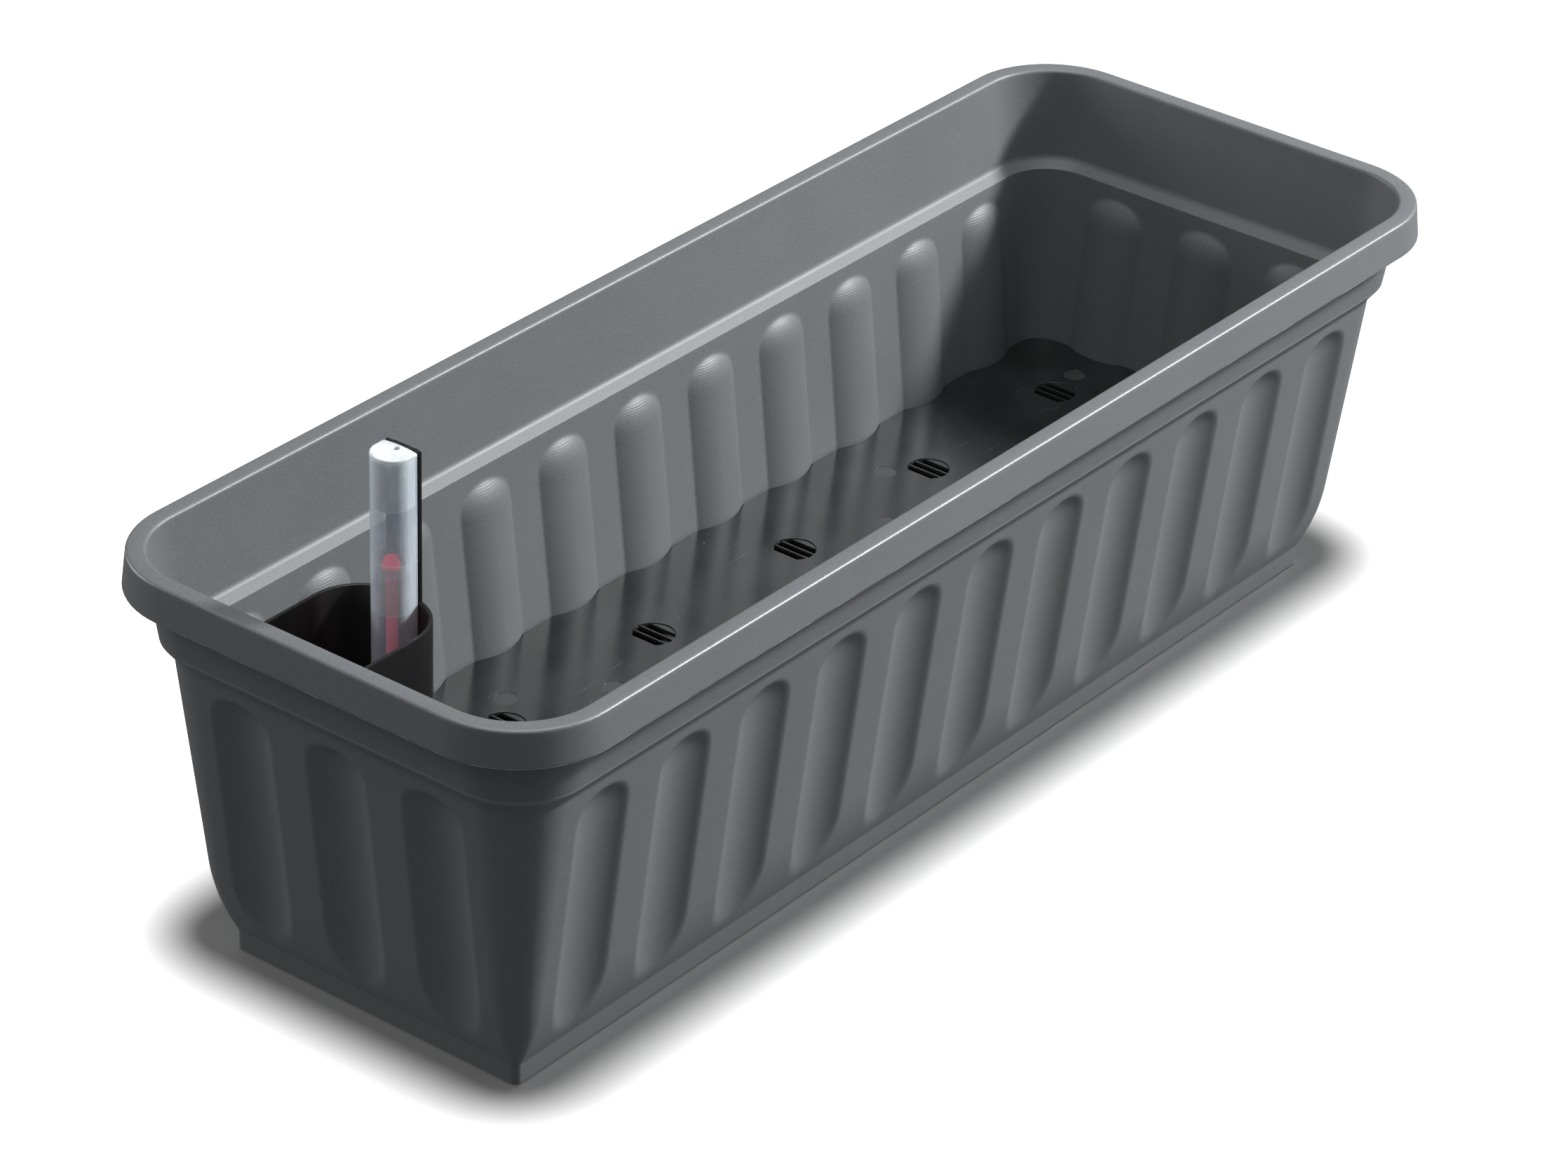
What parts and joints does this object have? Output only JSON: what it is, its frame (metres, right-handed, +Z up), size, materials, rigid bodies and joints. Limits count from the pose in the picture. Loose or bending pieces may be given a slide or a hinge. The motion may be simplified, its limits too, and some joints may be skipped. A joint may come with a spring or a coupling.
{
  "type": "self watering planter",
  "caption": "Long rectangular fluted plant trough with a flat rim, a slotted false floor over a water reservoir, a filling shaft and a float level gauge that lift out.",
  "frame": {"origin": "middle of the underside, on the plane the standing ring rests on", "axes": "+X along the trough, away from the filling shaft; +Y across it; +Z up"},
  "size_m": [0.603, 0.223, 0.24],
  "materials": {
    "anthracite": "matte, fine grained moulding",
    "black": "satin",
    "clear": "clear, polished",
    "milky": "milky, satin",
    "red": "satin",
    "white": "matte, foamed"
  },
  "bodies": {
    "trough": {"trough": "anthracite"},
    "insert": {"insert_plate": "black", "fill_shaft": "black"},
    "gauge": {"gauge_tube": "clear", "needle_guide": "milky", "gauge_foot": "black"},
    "cap": {"gauge_cap": "milky"},
    "float": {"gauge_needle": "red", "gauge_float": "white"}
  },
  "joints": [
    {"name": "insert_lift", "type": "slide", "parent": "trough", "child": "insert", "axis": [0, 0, 1], "range_m": [0, 0.18]},
    {"name": "gauge_lift", "type": "slide", "parent": "insert", "child": "gauge", "axis": [0, 0, 1], "range_m": [0, 0.24]},
    {"name": "cap_pull", "type": "slide", "parent": "gauge", "child": "cap", "axis": [0, 0, 1], "range_m": [0, 0.025]},
    {"name": "float_rise", "type": "slide", "parent": "gauge", "child": "float", "axis": [0, 0, 1], "range_m": [0, 0.021]}
  ]
}
